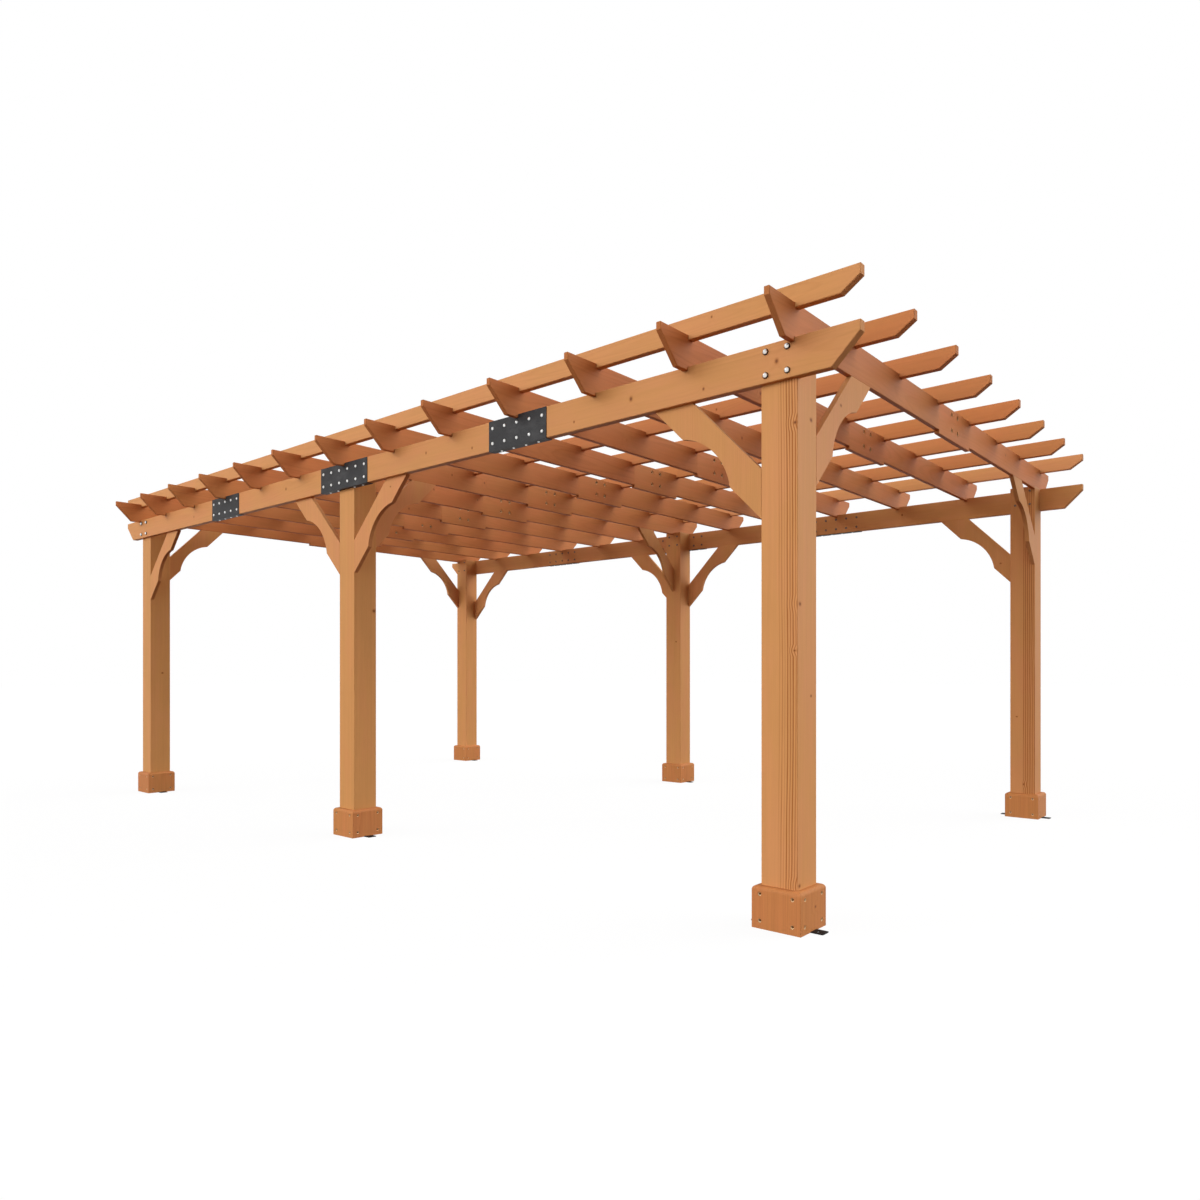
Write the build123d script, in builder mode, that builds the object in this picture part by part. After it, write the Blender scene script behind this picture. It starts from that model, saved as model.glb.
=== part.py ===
"""Wooden pergola: six posts, two long beams, thirteen rafters and eight purlins.

The frame is open and has no moving parts. Posts stand in two rows of three. A long beam is let into the
outer face of each row, rafters cross both beams, purlins cross the rafters, and scalloped knee braces
stiffen every post. The origin is on the ground at the middle of the plan, +X runs along the beams and
-Y is the front.
"""

import os
from math import sqrt

from build123d import *

# Posts
post_size = 145.0
post_arris = 3.0
post_spacing_x = 2723.0
post_spacing_y = 3150.0
post_top = 2099.0

# Steel anchor plate under each post
anchor_thickness = 3.0
anchor_tab_reach = 145.0
anchor_tab_width = 50.0
anchor_tab_corner = 6.0
anchor_hole_radius = 6.0
anchor_hole_offset = 116.0

# Boards that clad the foot of each post
skirt_thickness = 25.0
skirt_height = 153.0
skirt_round = 16.0

# Long beams
beam_thickness = 36.0
beam_height = 138.0
beam_let_in = 16.0
beam_overhang = 312.0
beam_nose = 36.0
beam_cut_run = 103.0
beam_splice_offset = 1400.0

# Steel splice plates on the beams
plate_thickness = 3.0
outer_plate_length = 374.0
middle_plate_length = 457.0

# Rafters
rafter_count = 13
rafter_pitch = 466.5
rafter_thickness = 23.0
rafter_height = 138.0
rafter_overhang = 269.0
rafter_nose = 30.0
rafter_cut_run = 106.0
rafter_notch = 16.0
rafter_lap_length = 448.0
rafter_lap_haunch = 17.0

# Purlins
purlin_thickness = 34.0
purlin_height = 84.0
purlin_pitch = 468.0
inner_purlin_count = 6
purlin_overhang = 312.0
purlin_nose = 36.0
purlin_cut_run = 71.0
purlin_notch = 18.5

# Knee braces
brace_thickness = 23.0
brace_leg = 480.0
brace_width = 128.0
scallop_length = 304.0
scallop_depth = 50.0

# Fits and finish
arris = 2.0
seat_clearance = 0.5
joint_gap = 0.5

# Levels and lines that follow from the sizes above
beam_bottom = post_top - beam_height
beam_line = (post_spacing_y + post_size + beam_thickness) / 2 - beam_let_in
rafter_bottom = post_top - rafter_notch
rafter_top = rafter_bottom + rafter_height
purlin_bottom = rafter_top - purlin_notch
purlin_top = purlin_bottom + purlin_height
end_rafter_line = post_spacing_x + (post_size - rafter_thickness) / 2
middle_rafter = rafter_count // 2
inner_rafter_lines = [rafter_pitch * (i - middle_rafter) for i in range(1, rafter_count - 1)]
rafter_lines = [-end_rafter_line, *inner_rafter_lines, end_rafter_line]
rows = {"front": -1, "back": 1}
columns = {"left": -1, "middle": 0, "right": 1}

os.makedirs("parts", exist_ok=True)


def board_outline(half_length, bottom, top, nose, cut_run):
    """Corners of a board seen from the side, with both lower corners cut off on a slope."""
    return [
        (-half_length, top),
        (half_length, top),
        (half_length, top - nose),
        (half_length - cut_run, bottom),
        (-half_length + cut_run, bottom),
        (-half_length, top - nose),
    ]


def make_post(x, row):
    """Square post with its arrises eased and a housing for the beam in its outer face."""
    y = row * post_spacing_y / 2
    with BuildPart() as post:
        with BuildSketch(Plane(origin=(x, y, anchor_thickness))):
            Rectangle(post_size, post_size)
        extrude(amount=post_top - anchor_thickness)
        fillet(post.edges().filter_by(Axis.Z), post_arris)
        with BuildSketch(Plane(origin=(x, row * beam_line, beam_bottom))):
            Rectangle(2 * post_size, beam_thickness)
        extrude(amount=beam_height, mode=Mode.SUBTRACT)
    return post


def make_anchor(x, row):
    """Flat steel plate under a post, with a drilled tab standing out on each side."""
    with BuildPart() as anchor:
        with BuildSketch(Plane(origin=(x, row * post_spacing_y / 2, 0))):
            RectangleRounded(2 * anchor_tab_reach, anchor_tab_width, anchor_tab_corner)
            Rectangle(post_size, post_size)
            with Locations((-anchor_hole_offset, 0), (anchor_hole_offset, 0)):
                Circle(anchor_hole_radius, mode=Mode.SUBTRACT)
        extrude(amount=anchor_thickness)
    return anchor


def make_skirt(x, row):
    """Four boards mitred around the foot of a post, rounded on top and slotted over the anchor tabs."""
    foot = Plane(origin=(x, row * post_spacing_y / 2, 0))
    outside = post_size + 2 * skirt_thickness
    with BuildPart() as skirt:
        with BuildSketch(foot):
            Rectangle(outside, outside)
        extrude(amount=skirt_height)
        fillet(skirt.faces().sort_by(Axis.Z)[-1].edges(), skirt_round)
        with BuildSketch(foot):
            Rectangle(post_size, post_size)
        extrude(amount=skirt_height, mode=Mode.SUBTRACT)
        with BuildSketch(foot):
            Rectangle(2 * outside, joint_gap, rotation=45)
            Rectangle(2 * outside, joint_gap, rotation=-45)
        extrude(amount=skirt_height, mode=Mode.SUBTRACT)
        with BuildSketch(foot):
            Rectangle(outside, anchor_tab_width + 2 * seat_clearance)
        extrude(amount=anchor_thickness + seat_clearance, mode=Mode.SUBTRACT)
    return skirt


def make_beam(row):
    """Long beam with sloped ends, in four lengths that meet at the splice plates."""
    half_length = post_spacing_x + beam_overhang
    outline = board_outline(half_length, beam_bottom, post_top, beam_nose, beam_cut_run)
    with BuildPart() as beam:
        with BuildSketch(Plane.XZ.offset(-row * beam_line)):
            with BuildLine():
                Polyline(*outline, close=True)
            make_face()
        extrude(amount=beam_thickness / 2, both=True)
        sides = beam.faces().filter_by(Axis.Y)
        chamfer(sides.edges(), arris)
        with BuildSketch(Plane(origin=(0, row * beam_line, beam_bottom))):
            with Locations((-beam_splice_offset, 0), (0, 0), (beam_splice_offset, 0)):
                Rectangle(joint_gap, beam_thickness)
        extrude(amount=beam_height, mode=Mode.SUBTRACT)
    return beam


def make_splice_plates(row):
    """Three steel angles on a beam: each covers a joint on the outer face and returns under the beam."""
    face = row * (beam_line + beam_thickness / 2)
    heel = face + row * plate_thickness
    toe = face - row * beam_thickness
    section = [
        (face, post_top),
        (heel, post_top),
        (heel, beam_bottom - plate_thickness),
        (toe, beam_bottom - plate_thickness),
        (toe, beam_bottom),
        (face, beam_bottom),
    ]
    lengths = {
        -beam_splice_offset: outer_plate_length,
        0: middle_plate_length,
        beam_splice_offset: outer_plate_length,
    }
    post_face = row * (post_spacing_y + post_size) / 2
    recess = abs(post_face - toe) + seat_clearance
    with BuildPart() as plates:
        for x, length in lengths.items():
            with BuildSketch(Plane.YZ.offset(x)):
                with BuildLine():
                    Polyline(*section, close=True)
                make_face()
            extrude(amount=length / 2, both=True)
        with BuildSketch(Plane(origin=(0, toe + row * recess / 2, beam_bottom - plate_thickness))):
            Rectangle(post_size + 2 * seat_clearance, recess)
        extrude(amount=plate_thickness, mode=Mode.SUBTRACT)
    return plates


def make_rafter(x, over_posts):
    """Rafter in two halves, half-lapped at mid span, notched over both beams and any posts below."""
    half_length = post_spacing_y / 2 + rafter_overhang
    half_lap = rafter_lap_length / 2
    haunch = rafter_bottom - rafter_lap_haunch
    outline = board_outline(half_length, rafter_bottom, rafter_top, rafter_nose, rafter_cut_run)
    outline[4:4] = [
        (half_lap, rafter_bottom),
        (half_lap, haunch),
        (-half_lap, haunch),
        (-half_lap, rafter_bottom),
    ]
    notch_outer = beam_line + beam_thickness / 2 + plate_thickness + seat_clearance
    notch_inner = beam_line - beam_thickness / 2 - seat_clearance
    if over_posts:
        notch_inner = (post_spacing_y - post_size) / 2 - seat_clearance
    notch_centre = (notch_outer + notch_inner) / 2
    with BuildPart() as rafter:
        with BuildSketch(Plane.YZ.offset(x)):
            with BuildLine():
                Polyline(*outline, close=True)
            make_face()
        extrude(amount=rafter_thickness / 2, both=True)
        sides = rafter.faces().filter_by(Axis.X).sort_by(Axis.X)
        chamfer(sides[0].edges() + sides[-1].edges(), arris)
        with BuildSketch(Plane(origin=(x, 0, rafter_bottom))):
            with Locations((0, -notch_centre), (0, notch_centre)):
                Rectangle(rafter_thickness, notch_outer - notch_inner)
        extrude(amount=rafter_notch, mode=Mode.SUBTRACT)
        with BuildSketch(Plane(origin=(x, 0, haunch))):
            Rectangle(joint_gap, rafter_lap_length)
            with Locations((rafter_thickness / 4, -half_lap), (-rafter_thickness / 4, half_lap)):
                Rectangle(rafter_thickness / 2 + joint_gap, joint_gap)
        extrude(amount=rafter_top - haunch, mode=Mode.SUBTRACT)
    return rafter


def make_purlin(y):
    """Purlin with sloped ends, notched over every rafter."""
    half_length = post_spacing_x + purlin_overhang
    outline = board_outline(half_length, purlin_bottom, purlin_top, purlin_nose, purlin_cut_run)
    with BuildPart() as purlin:
        with BuildSketch(Plane.XZ.offset(-y)):
            with BuildLine():
                Polyline(*outline, close=True)
            make_face()
        extrude(amount=purlin_thickness / 2, both=True)
        chamfer(purlin.faces().filter_by(Axis.Y).edges(), arris)
        with BuildSketch(Plane(origin=(0, y, purlin_bottom))):
            with Locations(*[(x, 0) for x in rafter_lines]):
                Rectangle(rafter_thickness + 2 * seat_clearance, purlin_thickness)
        extrude(amount=purlin_notch, mode=Mode.SUBTRACT)
    return purlin


def brace_plane(corner, direction):
    """Plane of a brace: local X points away from the post along direction and local Y points up."""
    away = Vector(*direction)
    return Plane(origin=corner, x_dir=away, z_dir=away.cross(Vector(0, 0, 1)))


def make_braces(x, row, column):
    """Knee braces of one post: one or two under the beam and one under the rafter."""
    half_post = post_size / 2
    y = row * post_spacing_y / 2
    beam_brace_line = y + row * (half_post - brace_thickness / 2)
    rafter_brace_line = x + column * (half_post - rafter_thickness / 2)
    planes = [
        brace_plane((x + side * half_post, beam_brace_line, beam_bottom), (side, 0, 0))
        for side in (-1, 1)
        if side != column
    ]
    planes.append(
        brace_plane((rafter_brace_line, y - row * half_post, rafter_bottom), (0, -row, 0))
    )
    short_leg = brace_leg - brace_width * sqrt(2)
    middle = Vector(brace_leg / 2, -brace_leg / 2)
    along = Vector(1, 1).normalized()
    inward = Vector(-1, 1).normalized()
    scallop_end = along * (scallop_length / 2)
    with BuildPart() as braces:
        for plane in planes:
            with BuildSketch(plane):
                with BuildLine():
                    Polyline(
                        middle + scallop_end,
                        (brace_leg, 0),
                        (short_leg, 0),
                        (0, -short_leg),
                        (0, -brace_leg),
                        middle - scallop_end,
                    )
                    ThreePointArc(
                        middle - scallop_end,
                        middle + inward * scallop_depth,
                        middle + scallop_end,
                    )
                make_face()
            extrude(amount=brace_thickness / 2, both=True)
    return braces


def save(builder, name):
    """Label a finished piece and write it to its own file."""
    builder.part.label = name
    export_step(builder.part, f"parts/{name}.step")


for row_name, row in rows.items():
    for column_name, column in columns.items():
        place = f"{row_name}_{column_name}"
        x = column * post_spacing_x
        save(make_post(x, row), f"post_{place}")
        save(make_anchor(x, row), f"anchor_{place}")
        save(make_skirt(x, row), f"skirt_{place}")
        save(make_braces(x, row, column), f"braces_{place}")
    save(make_beam(row), f"beam_{row_name}")
    save(make_splice_plates(row), f"splice_plates_{row_name}")

for i, x in enumerate(rafter_lines):
    save(make_rafter(x, i in (0, middle_rafter, rafter_count - 1)), f"rafter_{i + 1:02d}")

purlin_lines = [
    purlin_pitch * (i - (inner_purlin_count - 1) / 2) for i in range(inner_purlin_count)
]
for i, y in enumerate([-beam_line, *purlin_lines, beam_line]):
    save(make_purlin(y), f"purlin_{i + 1}")
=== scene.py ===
"""Finish of a timber garden pergola: stained softwood, black splice plates, bolts and screws.

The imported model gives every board, post and plate in metres, with the origin on the ground at the middle of
the plan, +X along the beams and -Y at the front. Timber and steel get their finishes here. The rafters and the
boards round the feet get the holes that their bolts and screws sit in, and every fastener is added.
"""

import math

import bmesh
import bpy
from mathutils import Matrix, Vector


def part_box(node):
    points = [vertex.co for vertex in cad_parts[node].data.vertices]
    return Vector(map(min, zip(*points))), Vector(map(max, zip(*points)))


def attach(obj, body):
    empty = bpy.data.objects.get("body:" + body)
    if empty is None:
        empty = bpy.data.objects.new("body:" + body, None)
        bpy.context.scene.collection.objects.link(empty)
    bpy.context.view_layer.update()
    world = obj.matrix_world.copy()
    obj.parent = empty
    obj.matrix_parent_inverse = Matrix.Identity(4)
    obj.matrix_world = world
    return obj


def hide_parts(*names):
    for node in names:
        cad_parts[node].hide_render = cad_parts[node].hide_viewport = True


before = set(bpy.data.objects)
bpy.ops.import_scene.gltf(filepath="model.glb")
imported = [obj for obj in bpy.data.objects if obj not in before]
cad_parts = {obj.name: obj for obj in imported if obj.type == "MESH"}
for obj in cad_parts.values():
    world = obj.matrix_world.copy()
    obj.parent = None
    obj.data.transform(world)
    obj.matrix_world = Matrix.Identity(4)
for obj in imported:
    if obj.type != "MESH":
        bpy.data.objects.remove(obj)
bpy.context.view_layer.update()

# Where the photograph was taken from
EYE = (4.2283, -4.3940, 0.9235)
TURN = 0.7106
LENS_MM = 25.71
SENSOR_MM = 36.0
SHIFT = (0.0024, 0.0602)

# Stained softwood, as linear colours
GOLD_WOOD = (0.585, 0.277, 0.093)
PINK_WOOD = (0.578, 0.250, 0.103)
# Redder tone of the wood, also used for painted shade on the rafters and on the purlins under the roof
RED_WOOD_AND_SHADE = (0.470, 0.134, 0.037)
DARK_RING = (0.330, 0.105, 0.026)
KNOT_HEART = (0.150, 0.046, 0.015)
KNOT_HALO = (0.360, 0.120, 0.034)

# Centre lines and middle heights of the timber
POST_LINE_X = 2.723
POST_LINE_Y = 1.575
POST_HALF = 0.0725
BEAM_LINE = 1.6495
BEAM_MIDDLE = 2.030
BEAM_PIECE = 1.4
RAFTER_PITCH = 0.4665
END_RAFTER = 2.784
RAFTER_HALF = 0.0115
RAFTER_MIDDLE = 2.152
RAFTER_LAP = 0.224
PURLIN_PITCH = 0.468
PURLIN_MIDDLE = 2.2445
BRACE_MIDDLE = 0.31

# Bolts and screws
CORNER_BOLT_SPREAD = 0.043
CORNER_BOLT_HEIGHTS = (1.9885, 2.073)
PLATE_BOLT_PITCH = 0.0805
PLATE_BOLT_HEIGHTS = (1.994, 2.0645)
LAP_BOLT_SPREAD = 0.042
LAP_BOLT_HEIGHTS = (2.117, 2.194)
LAP_HOLE_RADIUS = 0.0115
LAP_HOLE_DEPTH = 0.0045
SKIRT_SCREW_SPREAD = 0.065
SKIRT_SCREW_HEIGHTS = (0.029, 0.125)
SKIRT_HOLE_RADIUS = 0.0072
SKIRT_HOLE_DEPTH = 0.0050
CORNER_WASHER_THICKNESS = 0.0040

ROWS = {"front": -1, "back": 1}

# Knots that show from the front, as a place on a face and a radius
POST_KNOTS = [
    ((2.7955, -1.629, 1.165), 0.012),
    ((2.7955, -1.545, 0.838), 0.009),
    ((2.7955, -1.545, 1.834), 0.013),
    ((2.7955, -1.633, 0.168), 0.012),
    ((2.7860, -1.6475, 1.805), 0.011),
    ((-2.6505, -1.560, 0.918), 0.012),
    ((0.0725, -1.517, 1.273), 0.016),
    ((2.7840, -1.6475, 1.000), 0.007),
    ((0.0300, 1.5025, 1.180), 0.010),
    ((2.6900, 1.5025, 0.640), 0.008),
]
BEAM_KNOTS = [
    ((2.724, -1.6675, 2.030), 0.013),
    ((2.414, -1.6675, 1.998), 0.009),
    ((2.063, -1.6675, 2.033), 0.014),
    ((1.751, -1.6675, 1.999), 0.008),
    ((1.090, -1.6675, 2.000), 0.009),
    ((0.738, -1.6675, 2.035), 0.010),
    ((-0.624, -1.6675, 2.042), 0.012),
    ((-1.870, -1.6675, 2.020), 0.010),
    ((1.900, 1.6315, 2.040), 0.010),
]
RAFTER_KNOTS = [
    ((1.878, -0.500, 2.149), 0.012),
    ((0.011, -0.896, 2.167), 0.011),
    ((-0.455, -0.668, 2.177), 0.011),
    ((-0.455, -0.848, 2.095), 0.010),
    ((-0.455, -0.274, 2.165), 0.009),
    ((0.011, -0.624, 2.162), 0.011),
    ((-0.922, -0.527, 2.125), 0.012),
    ((2.344, -1.120, 2.130), 0.012),
    ((2.7955, 0.870, 2.170), 0.010),
]
BRACE_KNOTS = [
    ((2.7955, -1.297, 1.945), 0.010),
    ((0.410, -1.6475, 1.914), 0.008),
    ((2.559, 1.6245, 1.641), 0.009),
    ((0.0115, -1.361, 2.018), 0.009),
]
PURLIN_KNOTS = [
    ((1.861, -0.719, 2.251), 0.009),
    ((2.450, -1.6665, 2.262), 0.007),
    ((-1.100, -1.6665, 2.240), 0.008),
]
SKIRT_KNOTS = [((2.8205, -1.560, 0.085), 0.009)]


class Field:
    """A number that varies over a surface, worked out by nodes but written with ordinary arithmetic."""

    def __init__(self, tree, socket):
        self.tree = tree
        self.socket = socket

    def math(self, operation, *others, clamp=False):
        node = self.tree.nodes.new("ShaderNodeMath")
        node.operation = operation
        node.use_clamp = clamp
        for socket, value in zip(node.inputs, (self, *others)):
            feed(self.tree, socket, value)
        return Field(self.tree, node.outputs[0])

    def __add__(self, other):
        return self.math("ADD", other)

    def __sub__(self, other):
        return self.math("SUBTRACT", other)

    def __mul__(self, other):
        return self.math("MULTIPLY", other)

    def __truediv__(self, other):
        return self.math("DIVIDE", other)

    def __abs__(self):
        return self.math("ABSOLUTE")

    def __neg__(self):
        return self.math("MULTIPLY", -1.0)

    def floor(self):
        return self.math("FLOOR")

    def fraction(self):
        return self.math("FRACT")

    def sign(self):
        return self.math("SIGN")

    def least(self, other):
        return self.math("MINIMUM", other)

    def most(self, other):
        return self.math("MAXIMUM", other)

    def above(self, level):
        return self.math("GREATER_THAN", level)

    def rise(self, low, high):
        """0 below low and 1 above high, with a smooth step between them."""
        return self.span(low, high, 0.0, 1.0, "SMOOTHSTEP")

    def span(self, low, high, to_low, to_high, way="LINEAR"):
        node = self.tree.nodes.new("ShaderNodeMapRange")
        node.interpolation_type = way
        for socket, value in zip(node.inputs, (self, low, high, to_low, to_high)):
            feed(self.tree, socket, value)
        return Field(self.tree, node.outputs[0])

    def choose(self, low, high):
        """low where this is 0, high where it is 1."""
        return self.span(0.0, 1.0, low, high)


def feed(tree, socket, value):
    """Link a field or a socket to an input, or set the input to a plain value."""
    if isinstance(value, Field):
        tree.links.new(value.socket, socket)
    elif isinstance(value, bpy.types.NodeSocket):
        tree.links.new(value, socket)
    elif socket.type == "RGBA":
        socket.default_value = (*value, 1.0)
    else:
        socket.default_value = value


def add(tree, kind, inputs=None, **settings):
    """Add a node, with its settings and what feeds its inputs."""
    node = tree.nodes.new(kind)
    for name, value in settings.items():
        setattr(node, name, value)
    for name, value in (inputs or {}).items():
        feed(tree, node.inputs[name], value)
    return node


def vector_math(tree, operation, *values):
    """The vector that comes of a sum, difference or product of vectors."""
    inputs = dict(enumerate(values))
    return add(tree, "ShaderNodeVectorMath", inputs, operation=operation).outputs[0]


def length(tree, socket):
    node = add(tree, "ShaderNodeVectorMath", {0: socket}, operation="LENGTH")
    return Field(tree, node.outputs["Value"])


def vector(tree, x, y, z):
    return add(tree, "ShaderNodeCombineXYZ", {"X": x, "Y": y, "Z": z}).outputs[0]


def parts_of(tree, socket):
    """The three parts of a vector as fields."""
    node = add(tree, "ShaderNodeSeparateXYZ", {"Vector": socket})
    return [Field(tree, out) for out in node.outputs]


def luck_of(tree, number):
    """Three random numbers from 0 to 1 that belong to a number."""
    node = add(tree, "ShaderNodeTexWhiteNoise", {"W": number}, noise_dimensions="1D")
    return node.outputs["Color"]


def noise(tree, place, scales, detail=2.0, roughness=0.5):
    """Noise stretched by a scale along each axis, from 0 to 1 and around 0.5."""
    stretched = vector_math(tree, "MULTIPLY", place, scales)
    inputs = {"Vector": stretched, "Scale": 1.0, "Detail": detail, "Roughness": roughness}
    return Field(tree, add(tree, "ShaderNodeTexNoise", inputs).outputs["Fac"])


def blend(tree, amount, low, high, mode="MIX"):
    """One colour laid over another by an amount."""
    node = add(tree, "ShaderNodeMix", data_type="RGBA", blend_type=mode)
    feed(tree, node.inputs["Factor"], amount)
    feed(tree, node.inputs[6], low)
    feed(tree, node.inputs[7], high)
    return node.outputs[2]


def new_group(name, inputs, outputs):
    """An empty node group with named sockets. Inputs is {name: default}, outputs is {name: kind}."""
    group = bpy.data.node_groups.new(name, "ShaderNodeTree")
    for label, default in inputs.items():
        kind = "NodeSocketVector" if isinstance(default, tuple) else "NodeSocketFloat"
        socket = group.interface.new_socket(label, in_out="INPUT", socket_type=kind)
        socket.default_value = default
    for label, kind in outputs.items():
        group.interface.new_socket(label, in_out="OUTPUT", socket_type=kind)
    entry = group.nodes.new("NodeGroupInput")
    result = group.nodes.new("NodeGroupOutput")
    return group, entry.outputs, result.inputs


def use_group(tree, group, inputs):
    node = tree.nodes.new("ShaderNodeGroup")
    node.node_tree = group
    for name, value in inputs.items():
        feed(tree, node.inputs[name], value)
    return node


def small_knots(tree, own, share):
    """Distance to the nearest of the scattered small knots, in knot radii. Only a share of the cells hold one."""
    cell_scale = Vector((2.6, 9.0, 9.0))
    cells = vector_math(tree, "MULTIPLY", own, cell_scale)
    branch = add(tree, "ShaderNodeTexVoronoi", {"Vector": cells, "Scale": 1.0, "Randomness": 0.9})
    away = vector_math(tree, "SUBTRACT", branch.outputs["Position"], cells)
    metres = (0.72 / cell_scale.x, 1.0 / cell_scale.y, 0.45 / cell_scale.z)
    distance = length(tree, vector_math(tree, "MULTIPLY", away, metres))
    chance = parts_of(tree, branch.outputs["Color"])
    holds_one = (share - chance[0]).above(0.0)
    return distance / ((chance[1] * 0.004 + 0.005) * holds_one + 0.00001)


def stained_softwood():
    """Colour, roughness and height of a board cut from a log, at a place given along, across and through it."""
    inputs = {
        "Place": (0.0, 0.0, 0.0),
        "Board": 0.0,
        "End Grain": 0.0,
        "Knot": 100.0,
        "Knot Share": 0.05,
        "Pith Across": 0.0,
        "Pith Depth": 0.09,
        "Ring Width": 0.007,
        "Wander": 0.10,
        "Figure": 0.5,
        "Streaks": 0.20,
        "Blush": 0.0,
        "Redness": 0.0,
    }
    outputs = {
        "Color": "NodeSocketColor",
        "Roughness": "NodeSocketFloat",
        "Height": "NodeSocketFloat",
    }
    group, given, result = new_group("stained softwood", inputs, outputs)
    place = given["Place"]
    board, end_grain, figure = (Field(group, given[name]) for name in ("Board", "End Grain", "Figure"))
    lot = luck_of(group, board + 0.37)
    luck = parts_of(group, lot)
    own = vector_math(group, "ADD", place, vector_math(group, "MULTIPLY", lot, (60.0, 60.0, 60.0)))
    along, across, through = parts_of(group, place)

    knot = Field(group, given["Knot"]).least(small_knots(group, own, Field(group, given["Knot Share"])))
    heart = -knot.rise(0.25, 0.70) + 1.0
    halo = -knot.rise(0.4, 1.3) + 1.0
    swirl = -knot.rise(0.5, 4.5) + 1.0

    # Rings: distance from a pith that wanders along the log, pushed aside round a knot
    wandering = Field(group, given["Wander"])
    wander = (noise(group, own, (0.55, 1.6, 1.6), 1.0) - 0.5) * wandering
    drift = (noise(group, own, (0.8, 2.1, 2.1), 1.0) - 0.5) * wandering
    tremor = noise(group, own, (5.0, 40.0, 40.0), 2.0)
    pith_across = (luck[0] - 0.5) * 0.05 + wander + Field(group, given["Pith Across"])
    pith_depth = (luck[1] * 0.6 + 0.7) * Field(group, given["Pith Depth"]) + drift
    reach_across = across - pith_across
    reach_through = through + pith_depth
    ring_radius = (reach_across * reach_across + reach_through * reach_through).math("SQRT")
    ring_radius = ring_radius + (tremor - 0.5) * 0.0045 + swirl * 0.007
    count = ring_radius / Field(group, given["Ring Width"])
    season = count.fraction()
    year = parts_of(group, luck_of(group, count.floor() + board * 7.0))
    late_wood = season.rise(0.35, 0.80) * (-season.rise(0.84, 0.98) + 1.0) * year[0].span(0.0, 1.0, 0.15, 1.0)
    patches = noise(group, own, (0.6, 8.0, 8.0), 2.0).rise(0.36, 0.60)
    ring = (late_wood * (patches * 0.6 + 0.4) * figure).least(0.92)

    # Fibre, streaks and clouds of stain
    fibre = noise(group, own, (14.0, 620.0, 620.0), 3.0, 0.6)
    streak = noise(group, own, (1.8, 75.0, 75.0), 3.0, 0.6)
    cloud = noise(group, own, (3.0, 9.0, 9.0), 3.0)
    pores = noise(group, own, (420.0, 420.0, 420.0), 2.0)

    blush = luck[2] * 0.5 + cloud.rise(0.35, 0.68) * 0.5 + Field(group, given["Blush"])
    blush = blush.most(0.0).least(1.0)
    colour = blend(group, blush, GOLD_WOOD, PINK_WOOD)
    # The red tone varies at random by board and cloud. What a member adds is its own colour on the skirts, and partly
    # painted shade on the rafters and on the purlins under the roof.
    redness_and_shade = (Field(group, given["Redness"]) + (luck[1] - 0.5) * 0.16 + (cloud - 0.5) * 0.25).most(0.0)
    colour = blend(group, redness_and_shade.least(1.0), colour, RED_WOOD_AND_SHADE)
    colour = blend(group, ring, colour, DARK_RING)
    colour = blend(group, halo * 0.65, colour, KNOT_HALO)
    colour = blend(group, heart * 0.75, colour, KNOT_HEART)
    streaks = Field(group, given["Streaks"])
    shade = (streak - 0.5) * streaks + (fibre - 0.5) * streaks * 0.7 + (cloud - 0.5) * 0.16
    shade = shade + (luck[0] - 0.5) * 0.08 + 1.0
    shade = shade * (-end_grain * 0.10 + 1.0) * (-(pores.rise(0.52, 0.7)) * end_grain * 0.12 + 1.0)
    colour = blend(group, 1.0, colour, vector(group, shade, shade, shade), "MULTIPLY")
    feed(group, result["Color"], colour)

    rough = (fibre - 0.5) * 0.16 + ring * 0.06 + end_grain * 0.2 - heart * 0.12 + 0.52
    feed(group, result["Roughness"], rough)
    height = fibre * 0.00014 + ring * 0.00016 + heart * 0.0003 + pores * end_grain * 0.0003
    feed(group, result["Height"], height)
    return group


def position(tree):
    """Place on the pergola, and how far the surface faces each axis."""
    place = parts_of(tree, add(tree, "ShaderNodeTexCoord").outputs["Object"])
    facing = add(tree, "ShaderNodeNewGeometry").outputs["Normal"]
    return place, [abs(part) for part in parts_of(tree, facing)]


def laid(place, board, across_grain, **more):
    """What the stained softwood needs to know: the place in a board, which board, and where it is cut across."""
    return {"Place": place, "Board": board, "End Grain": across_grain.rise(0.45, 0.8), **more}


def post_grain(tree):
    """Upright grain about each post's own centre. The rings crowd towards the arris of the right posts."""
    (x, y, z), facing = position(tree)
    column = (x / POST_LINE_X + 0.5).floor()
    row = y.sign()
    place = vector(tree, z, x - column * POST_LINE_X, y - row * POST_LINE_Y)
    off_post = x - column * POST_LINE_X
    crowded = off_post.rise(-0.008, 0.018) * (-off_post.rise(0.0700, 0.0722) + 1.0)
    figure = column.above(0.5).choose(crowded * 0.15, crowded * 3.4) + 0.02
    return laid(place, column + row * 5.0, facing[2], Figure=figure)


def beam_grain(tree):
    """Grain along X, with a new board at each splice."""
    (x, y, z), facing = position(tree)
    piece = (x / BEAM_PIECE).most(-1.5).least(1.5).floor()
    row = y.sign()
    place = vector(tree, x, z - BEAM_MIDDLE, (y - row * BEAM_LINE) * row)
    return laid(place, piece + row * 7.0, facing[0])


def rafter_grain(tree):
    """Grain along Y, with a board for each half. The halves lie side by side at the lap."""
    (x, y, z), facing = position(tree)
    number = (x / RAFTER_PITCH + 0.5).floor()
    line = (number * RAFTER_PITCH).most(-END_RAFTER).least(END_RAFTER)
    off_line = x - line
    beyond_lap = abs(y).above(RAFTER_LAP)
    half = beyond_lap.choose(off_line.sign(), y.sign())
    place = vector(tree, y, z - RAFTER_MIDDLE, off_line)
    return laid(place, number * 2.3 + half * 0.7, facing[1])


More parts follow.
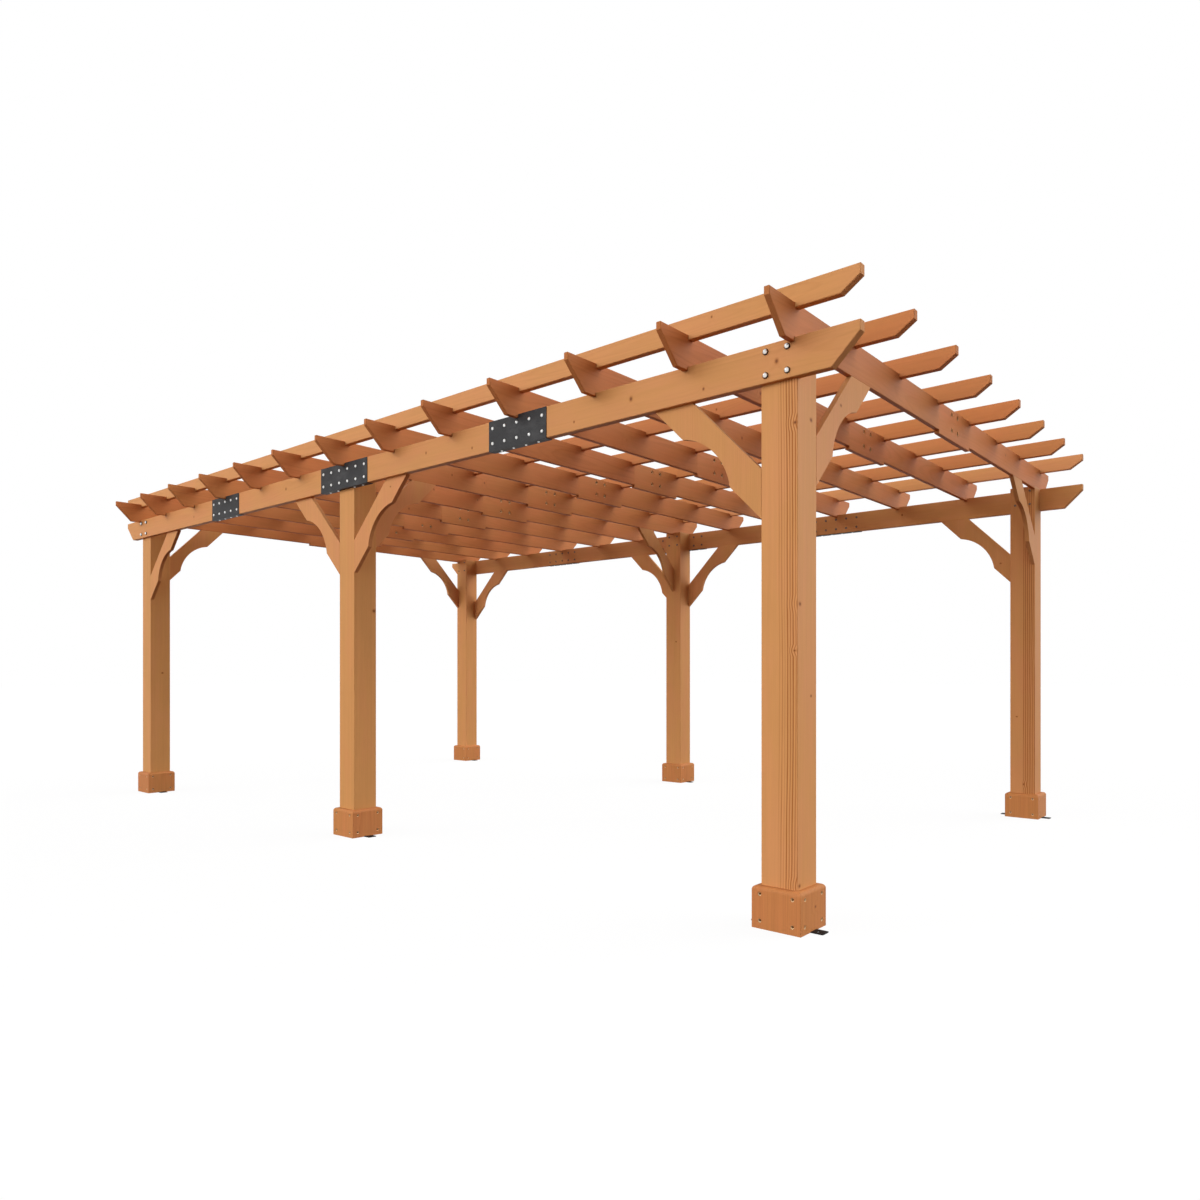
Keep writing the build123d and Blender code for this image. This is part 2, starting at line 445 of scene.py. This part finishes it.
def purlin_grain(tree):
    """Grain along X, one board to a purlin. The six purlins between the two at the eaves are made redder, as painted
    shade.
    """
    (x, y, z), facing = position(tree)
    line = (y / PURLIN_PITCH).floor() + 0.5
    place = vector(tree, x, z - PURLIN_MIDDLE, y - line * PURLIN_PITCH)
    # Painted shade: the six purlins between the two at the eaves get extra red tone for the shade under the roof.
    inner_painted_shade = -(abs(line).above(3.0)) + 1.0
    return laid(place, line * 1.9, facing[0], Redness=inner_painted_shade * 0.50)


def brace_grain(tree):
    """Upright grain on the braces. Those under a beam lie outside the posts' centre lines."""
    (x, y, z), facing = position(tree)
    column = (x / POST_LINE_X + 0.5).floor()
    off_post = x - column * POST_LINE_X
    under_beam = abs(y).above(POST_LINE_Y)
    out = under_beam.choose(-abs(y) + POST_LINE_Y, abs(off_post))
    flat = under_beam.choose(off_post, abs(y) - BEAM_LINE)
    side = under_beam * off_post.sign() + y.sign() * 3.0 + column * 7.0
    return laid(vector(tree, z, out - BRACE_MIDDLE, flat), side, facing[2] * 0.6)


def skirt_grain(tree):
    """Upright grain on the four boards round a foot."""
    (x, y, z), facing = position(tree)
    column = (x / POST_LINE_X + 0.5).floor()
    row = y.sign()
    off_x = x - column * POST_LINE_X
    off_y = y - row * POST_LINE_Y
    on_side = (abs(off_x) - abs(off_y)).above(0.0)
    wide = on_side.choose(off_x, off_y)
    flat = on_side.choose(off_y, off_x)
    side = on_side.choose(off_y.sign(), off_x.sign() * 2.0 + 0.5)
    return laid(vector(tree, z, wide, flat), side + column * 11.0 + row * 5.0, facing[2] * 0.6)


def nearest_knot(tree, knots, grain):
    """Distance to the nearest of the given knots, in knot radii. A knot is a little short along the grain."""
    place = add(tree, "ShaderNodeTexCoord").outputs["Object"]
    nearest = None
    for centre, radius in knots:
        away = vector_math(tree, "SUBTRACT", place, centre)
        radii = [(1.0 + 0.25 * part) / radius for part in grain]
        distance = length(tree, vector_math(tree, "MULTIPLY", away, radii))
        nearest = distance if nearest is None else nearest.least(distance)
    return nearest


def timber(name, grain, softwood, knots, along, **cut):
    """A finish for one kind of member: where its grain runs, its knots, and how its boards were cut."""
    material = bpy.data.materials.new(name)
    material.use_nodes = True
    tree = material.node_tree
    shader = tree.nodes["Principled BSDF"]
    lie = grain(tree)
    wood = use_group(tree, softwood, {**lie, "Knot": nearest_knot(tree, knots, along), **cut})
    relief = add(tree, "ShaderNodeBump", {"Height": wood.outputs["Height"], "Strength": 0.7, "Distance": 1.0})
    feed(tree, shader.inputs["Base Color"], wood.outputs["Color"])
    feed(tree, shader.inputs["Roughness"], wood.outputs["Roughness"])
    feed(tree, shader.inputs["Normal"], relief.outputs["Normal"])
    shader.inputs["Specular IOR Level"].default_value = 0.07
    return material


def fresh_cut_wood():
    """Pale unstained wood on the walls of bored holes."""
    material = bpy.data.materials.new("fresh cut wood")
    material.use_nodes = True
    tree = material.node_tree
    shader = tree.nodes["Principled BSDF"]
    place = add(tree, "ShaderNodeTexCoord").outputs["Object"]
    fibre = noise(tree, place, (700.0, 700.0, 700.0), 3.0)
    feed(tree, shader.inputs["Base Color"], blend(tree, fibre.rise(0.3, 0.7), (0.60, 0.38, 0.19), (0.80, 0.58, 0.34)))
    feed(tree, shader.inputs["Roughness"], fibre * 0.2 + 0.65)
    relief = add(tree, "ShaderNodeBump", {"Height": fibre * 0.0002, "Strength": 0.7, "Distance": 1.0})
    feed(tree, shader.inputs["Normal"], relief.outputs["Normal"])
    shader.inputs["Specular IOR Level"].default_value = 0.10
    return material


def powder_coat(name, black, dusty):
    """Fine orange-peel black on plates and anchors, with a little dust."""
    material = bpy.data.materials.new(name)
    material.use_nodes = True
    tree = material.node_tree
    shader = tree.nodes["Principled BSDF"]
    place = add(tree, "ShaderNodeTexCoord").outputs["Object"]
    peel = noise(tree, place, (900.0, 900.0, 900.0), 2.0)
    speckle = noise(tree, place, (260.0, 260.0, 260.0), 2.0)
    dust = noise(tree, place, (9.0, 9.0, 14.0), 4.0, 0.6).rise(0.4, 0.75)
    colour = blend(tree, dust * 0.6 + (speckle - 0.5) * 0.8, black, dusty)
    feed(tree, shader.inputs["Base Color"], colour)
    feed(tree, shader.inputs["Roughness"], dust * 0.12 + peel * 0.1 + 0.46)
    relief = add(tree, "ShaderNodeBump", {"Height": peel * 0.0001, "Strength": 0.6, "Distance": 1.0})
    feed(tree, shader.inputs["Normal"], relief.outputs["Normal"])
    shader.inputs["Specular IOR Level"].default_value = 0.10
    return material


def bare_metal(name, dull, bright, roughness):
    """Metal of a bolt or screw, with a slightly uneven film over it."""
    material = bpy.data.materials.new(name)
    material.use_nodes = True
    tree = material.node_tree
    shader = tree.nodes["Principled BSDF"]
    place = add(tree, "ShaderNodeTexCoord").outputs["Object"]
    film = noise(tree, place, (160.0, 160.0, 160.0), 3.0)
    feed(tree, shader.inputs["Base Color"], blend(tree, film.rise(0.3, 0.7), dull, bright))
    feed(tree, shader.inputs["Roughness"], film * 0.16 + roughness)
    shader.inputs["Metallic"].default_value = 1.0
    return material


def clothe(nodes, material):
    """Give CAD nodes a finish."""
    for name in nodes:
        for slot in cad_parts[name].material_slots:
            slot.material = material


def node_names(*beginnings):
    return sorted(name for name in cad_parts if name.startswith(beginnings))


def turned(profile, sides=20):
    """A closed solid of revolution about Z. The profile is (radius, height) pairs from the axis to the axis."""
    foot, *rings, tip = profile
    points = [(0.0, 0.0, foot[1])]
    for radius, height in rings:
        for step in range(sides):
            angle = math.tau * step / sides
            points.append((radius * math.cos(angle), radius * math.sin(angle), height))
    points.append((0.0, 0.0, tip[1]))
    top = len(points) - 1
    faces = []
    for step in range(sides):
        after = (step + 1) % sides
        faces.append((0, 1 + after, 1 + step))
        for low in range(1, top - sides, sides):
            faces.append((low + step, low + after, low + sides + after, low + sides + step))
        faces.append((top - sides + step, top - sides + after, top))
    return points, faces


def domed_head(radius, rise):
    """Domed head of a carriage bolt or coach screw."""
    seat = 0.0006
    dome = [(0.0, -0.0004), (radius, -0.0004), (radius, seat)]
    for step in range(1, 6):
        angle = math.pi / 2 * step / 6
        dome.append((radius * math.cos(angle), seat + rise * math.sin(angle)))
    dome.append((0.0, seat + rise))
    return turned(dome)


def flat_washer(radius, thickness):
    """A flat washer with its outer edge eased."""
    eased = radius * 0.95
    return turned([(0.0, -0.0003), (radius, -0.0003), (radius, thickness * 0.8), (eased, thickness), (0.0, thickness)])


def joined(*shapes):
    """Several shapes as one."""
    points = []
    faces = []
    for more_points, more_faces in shapes:
        start = len(points)
        points.extend(more_points)
        faces.extend([start + corner for corner in face] for face in more_faces)
    return points, faces


def nut_on_washer(radius):
    """Hexagon nut on a flat washer, with the end of its bolt."""
    washer = turned([(0.0, -0.0003), (radius * 1.35, -0.0003), (radius * 1.35, 0.0012), (0.0, 0.0012)])
    nut = turned([(0.0, 0.0010), (radius, 0.0010), (radius, 0.0050), (radius * 0.86, 0.0058), (0.0, 0.0058)], 6)
    shank = radius * 0.55
    end = turned([(0.0, 0.005), (shank, 0.005), (shank, 0.0080), (shank * 0.76, 0.0086), (0.0, 0.0086)], 12)
    return joined(washer, nut, end)


def counterbore(radius, depth):
    """What a flat-bottomed drill takes out."""
    clear = 0.002
    return turned([(0.0, -depth), (radius * 0.96, -depth), (radius, -depth * 0.9), (radius, clear), (0.0, clear)], 24)


def countersink(radius, depth):
    """What a countersink takes out."""
    clear = 0.002
    return turned([(0.0, -depth), (radius * 0.55, -depth), (radius, -0.0004), (radius, clear), (0.0, clear)], 24)


def copies(name, shape, places):
    """One object that holds a copy of a shape at each place. Places are (point, direction it faces)."""
    stood = []
    for point, facing in places:
        turn = Vector(facing).to_track_quat("Z", "Y").to_matrix().to_4x4()
        stand = Matrix.Translation(point) @ turn
        stood.append(([stand @ Vector(corner) for corner in shape[0]], shape[1]))
    points, faces = joined(*stood)
    mesh = bpy.data.meshes.new(name)
    mesh.from_pydata(points, [], faces)
    piece = bpy.data.objects.new(name, mesh)
    bpy.context.scene.collection.objects.link(piece)
    return piece


def smooth(mesh):
    """Smooth shading that keeps the edges sharp."""
    mesh.shade_smooth()
    mesh.set_sharp_from_angle(angle=math.radians(32.0))


def fasten(name, shape, places, finish):
    """Copies of one fastener as a single piece."""
    piece = copies(name, shape, places)
    smooth(piece.data)
    piece.data.materials.append(finish)
    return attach(piece, "root")


def lies_in_hole(centre, places, radius):
    """Whether a point is sunk below a board's face, within one of its holes."""
    for point, facing in places:
        away = centre - Vector(point)
        sunk = away.dot(Vector(facing))
        off_axis = (away - Vector(facing) * sunk).length
        if sunk < -0.0002 and sunk > -0.006 and off_axis < radius * 1.02:
            return True
    return False


def bored(node, hole, radius, places, finish):
    """A CAD node with holes cut in it, as a piece that stands in for the node."""
    shape = bmesh.new()
    shape.from_mesh(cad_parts[node].data)
    bmesh.ops.remove_doubles(shape, verts=shape.verts, dist=1e-6)
    points = [tuple(corner.co) for corner in shape.verts]
    faces = [[corner.index for corner in face.verts] for face in shape.faces]
    shape.free()
    mesh = bpy.data.meshes.new(f"bored_{node}")
    mesh.from_pydata(points, [], faces)
    piece = bpy.data.objects.new(f"bored_{node}", mesh)
    bpy.context.scene.collection.objects.link(piece)
    drill = copies("drill", hole, places)
    cut = piece.modifiers.new("holes", "BOOLEAN")
    cut.operation = "DIFFERENCE"
    cut.solver = "EXACT"
    cut.object = drill
    graph = bpy.context.evaluated_depsgraph_get()
    drilled = bpy.data.meshes.new_from_object(piece.evaluated_get(graph))
    piece.modifiers.clear()
    piece.data = drilled
    bpy.data.meshes.remove(mesh)
    bpy.data.objects.remove(drill)
    drilled.materials.clear()
    drilled.materials.append(finish)
    drilled.materials.append(fresh_wood)
    for face in drilled.polygons:
        face.material_index = int(lies_in_hole(face.center, places, radius))
    smooth(drilled)
    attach(piece, "root")
    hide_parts(node)


def middle_of(node):
    low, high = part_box(node)
    return (low + high) / 2


UPRIGHT = (0, 0, 1)
LENGTHWISE = (1, 0, 0)
FRONT_TO_BACK = (0, 1, 0)

softwood = stained_softwood()
fresh_wood = fresh_cut_wood()
post_timber = timber(
    "post timber",
    post_grain,
    softwood,
    POST_KNOTS,
    UPRIGHT,
    **{"Pith Across": -0.42, "Pith Depth": 0.0, "Ring Width": 0.0105, "Wander": 0.03, "Streaks": 0.18, "Blush": -0.30},
)
beam_timber = timber(
    "beam timber", beam_grain, softwood, BEAM_KNOTS, LENGTHWISE, **{"Figure": 0.10, "Streaks": 0.14}
)
# The rafters' extra red tone is partly their own colour and partly painted shade from under the roof.
rafter_timber = timber(
    "rafter timber", rafter_grain, softwood, RAFTER_KNOTS, FRONT_TO_BACK, **{"Figure": 0.25, "Redness": 0.58}
)
purlin_timber = timber(
    "purlin timber", purlin_grain, softwood, PURLIN_KNOTS, LENGTHWISE, **{"Figure": 0.12, "Streaks": 0.16}
)
brace_timber = timber(
    "brace timber", brace_grain, softwood, BRACE_KNOTS, UPRIGHT, **{"Figure": 0.16, "Streaks": 0.14}
)
skirt_timber = timber(
    "skirt timber", skirt_grain, softwood, SKIRT_KNOTS, UPRIGHT, **{"Figure": 0.30, "Streaks": 0.34, "Blush": -0.25, "Redness": 0.45}
)
clothe(node_names("post_"), post_timber)
clothe(node_names("beam_"), beam_timber)
clothe(node_names("purlin_"), purlin_timber)
clothe(node_names("braces_"), brace_timber)
clothe(node_names("splice_"), powder_coat("black powder coat", (0.042, 0.043, 0.045), (0.085, 0.086, 0.088)))
anchor_coat = powder_coat("black anchor coat", (0.006, 0.006, 0.007), (0.016, 0.016, 0.017))
clothe(node_names("anchor_"), anchor_coat)

zinc = bare_metal("bright zinc", (0.66, 0.66, 0.64), (0.84, 0.84, 0.82), 0.22)
nut_steel = bare_metal("dull steel", (0.10, 0.075, 0.055), (0.22, 0.18, 0.14), 0.40)
brown_coat = bare_metal("brown screw coat", (0.10, 0.040, 0.015), (0.18, 0.078, 0.030), 0.42)


def bore_rafters():
    """Holes let into both faces of each lap, with a bolt head at the bottom of each."""
    heads = []
    for node in node_names("rafter_"):
        line = middle_of(node).x
        places = [
            ((line + side * RAFTER_HALF, spread * LAP_BOLT_SPREAD, height), (side, 0, 0))
            for side in (-1, 1)
            for spread in (-1, 1)
            for height in LAP_BOLT_HEIGHTS
        ]
        bored(node, counterbore(LAP_HOLE_RADIUS, LAP_HOLE_DEPTH), LAP_HOLE_RADIUS, places, rafter_timber)
        inset = RAFTER_HALF - LAP_HOLE_DEPTH
        heads += [((line + facing[0] * inset, point[1], point[2]), facing) for point, facing in places]
    fasten("lap_bolts", domed_head(0.0055, 0.0022), heads, brown_coat)


def bore_skirts():
    """Countersunk holes near the corners of each board round a foot, with a screw in each."""
    heads = []
    for node in node_names("skirt_"):
        low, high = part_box(node)
        centre = (low + high) / 2
        places = []
        for side in (-1, 1):
            for spread in (-SKIRT_SCREW_SPREAD, SKIRT_SCREW_SPREAD):
                for height in SKIRT_SCREW_HEIGHTS:
                    face_x = high.x if side > 0 else low.x
                    face_y = high.y if side > 0 else low.y
                    places.append(((face_x, centre.y + spread, height), (side, 0, 0)))
                    places.append(((centre.x + spread, face_y, height), (0, side, 0)))
        bored(node, countersink(SKIRT_HOLE_RADIUS, SKIRT_HOLE_DEPTH), SKIRT_HOLE_RADIUS, places, skirt_timber)
        heads += [(Vector(point) - Vector(facing) * SKIRT_HOLE_DEPTH, facing) for point, facing in places]
    fasten("skirt_screws", domed_head(0.0040, 0.0010), heads, brown_coat)


def bolt_corner_posts():
    """Four bolts through beam and post at each corner: heads on dark washers outside, nuts inside."""
    washers = []
    heads = []
    nuts = []
    for row_name, row in ROWS.items():
        low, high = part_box(f"beam_{row_name}")
        outer_face = high.y if row > 0 else low.y
        inner_face = row * (POST_LINE_Y - POST_HALF)
        for side in (-1, 1):
            for spread in (-CORNER_BOLT_SPREAD, CORNER_BOLT_SPREAD):
                for height in CORNER_BOLT_HEIGHTS:
                    x = side * POST_LINE_X + spread
                    washers.append(((x, outer_face, height), (0, row, 0)))
                    heads.append(((x, outer_face + row * CORNER_WASHER_THICKNESS, height), (0, row, 0)))
                    nuts.append(((x, inner_face, height), (0, -row, 0)))
    fasten("corner_washers", flat_washer(0.0115, CORNER_WASHER_THICKNESS), washers, anchor_coat)
    fasten("corner_bolts", domed_head(0.0095, 0.0070), heads, zinc)
    fasten("corner_nuts", nut_on_washer(0.0052), nuts, nut_steel)


def bolt_splice_plates():
    """Bolts through plates and beams, with nuts on the far side, and screws up through the flanges."""
    heads = []
    nuts = []
    screws = []
    for row_name, row in ROWS.items():
        low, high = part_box(f"splice_plates_{row_name}")
        plate_face = high.y if row > 0 else low.y
        beam_low, beam_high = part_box(f"beam_{row_name}")
        beam_inside = beam_low.y if row > 0 else beam_high.y
        post_inside = row * (POST_LINE_Y - POST_HALF)
        for centre, count in ((-BEAM_PIECE, 5), (0.0, 6), (BEAM_PIECE, 5)):
            for column in range(count):
                x = centre + (column - (count - 1) / 2) * PLATE_BOLT_PITCH
                far_face = post_inside if abs(x) < POST_HALF else beam_inside
                for height in PLATE_BOLT_HEIGHTS:
                    heads.append(((x, plate_face, height), (0, row, 0)))
                    nuts.append(((x, far_face, height), (0, -row, 0)))
            for gap in range(count - 1):
                x = centre + (gap + 1 - count / 2) * PLATE_BOLT_PITCH
                if abs(x) > POST_HALF:
                    screws.append(((x, row * BEAM_LINE, low.z), (0, 0, -1)))
    fasten("plate_bolts", domed_head(0.0080, 0.0050), heads, zinc)
    fasten("plate_nuts", nut_on_washer(0.0060), nuts, nut_steel)
    fasten("flange_screws", domed_head(0.0058, 0.0028), screws, zinc)


bore_rafters()
bore_skirts()
bolt_corner_posts()
bolt_splice_plates()


def seen_rays(tree):
    """1 for the rays that show the background itself: straight to the camera, mirrored, or through glass."""
    path = add(tree, "ShaderNodeLightPath")
    seen = Field(tree, path.outputs["Is Camera Ray"])
    seen = seen.most(path.outputs["Is Glossy Ray"])
    return seen.most(path.outputs["Is Transmission Ray"])


def white_world(ambient, *soft_boxes):
    """A white backdrop all round. What lights the timber is broad soft boxes, as (bearing, height, strength)."""
    world = bpy.data.worlds.new("white studio")
    bpy.context.scene.world = world
    world.use_nodes = True
    tree = world.node_tree
    x, y, z = parts_of(tree, add(tree, "ShaderNodeTexCoord").outputs["Generated"])
    light = x * 0.0 + ambient
    for bearing, height, strength in soft_boxes:
        level = math.cos(math.radians(height))
        across = level * math.cos(math.radians(bearing))
        back = level * math.sin(math.radians(bearing))
        toward = (x * across + y * back + z * math.sin(math.radians(height))).most(0.0)
        light = light + toward.math("POWER", 5.0) * strength
    backdrop = tree.nodes["Background"]
    feed(tree, backdrop.inputs["Color"], (1.0, 1.0, 1.0))
    feed(tree, backdrop.inputs["Strength"], seen_rays(tree).choose(light, 1.0))


def pale_floor(level, half_width, shadow_depth, bounce):
    """A pale floor that keeps a faint shadow and throws little light back up."""
    corners = [(-1, -1), (1, -1), (1, 1), (-1, 1)]
    mesh = bpy.data.meshes.new("floor")
    mesh.from_pydata([(x * half_width, y * half_width, level) for x, y in corners], [], [(0, 1, 2, 3)])
    floor = bpy.data.objects.new("floor", mesh)
    bpy.context.scene.collection.objects.link(floor)
    finish = bpy.data.materials.new("pale floor")
    finish.use_nodes = True
    tree = finish.node_tree
    tree.nodes.remove(tree.nodes["Principled BSDF"])
    shaded = add(tree, "ShaderNodeBsdfDiffuse", {"Color": (0.95, 0.95, 0.95)})
    glow = add(tree, "ShaderNodeEmission", {"Color": (1.0, 1.0, 1.0), "Strength": 1.0})
    pale = add(tree, "ShaderNodeMixShader", {0: shadow_depth, 1: glow.outputs[0], 2: shaded.outputs[0]})
    dull = add(tree, "ShaderNodeBsdfDiffuse", {"Color": bounce})
    surface = add(
        tree, "ShaderNodeMixShader", {0: seen_rays(tree), 1: dull.outputs[0], 2: pale.outputs[0]}
    )
    feed(tree, tree.nodes["Material Output"].inputs["Surface"], surface.outputs[0])
    mesh.materials.append(finish)


def soft_lamp(name, place, target, width, power, colour=(1.0, 1.0, 1.0)):
    """A round soft box aimed at a point."""
    lamp = bpy.data.lights.new(name, "AREA")
    lamp.shape = "DISK"
    lamp.size = width
    lamp.energy = power
    lamp.color = colour
    stand = bpy.data.objects.new(name, lamp)
    bpy.context.scene.collection.objects.link(stand)
    stand.location = place
    aim = Vector(target) - Vector(place)
    stand.rotation_euler = aim.to_track_quat("-Z", "Y").to_euler()


def photograph():
    """The camera, standing where the photograph was taken."""
    lens = bpy.data.cameras.new("camera")
    lens.sensor_width = SENSOR_MM
    lens.lens = LENS_MM
    lens.shift_x, lens.shift_y = SHIFT
    camera = bpy.data.objects.new("camera", lens)
    bpy.context.scene.collection.objects.link(camera)
    camera.location = EYE
    camera.rotation_euler = (math.pi / 2, 0.0, TURN)
    bpy.context.scene.camera = camera


bpy.context.scene.view_settings.view_transform = "Standard"
FRONT_LEFT = (-135.0, 16.0, 2.6)
FRONT = (-90.0, 5.0, 3.0)
BACK_RIGHT = (50.0, 24.0, 5.3)
white_world(0.04, FRONT_LEFT, FRONT, BACK_RIGHT)
pale_floor(level=-0.0005, half_width=60.0, shadow_depth=0.06, bounce=(0.10, 0.033, 0.016))
soft_lamp("key", (-5.0, -10.0, 7.0), (0.0, 0.0, 1.2), width=2.4, power=150.0)
photograph()
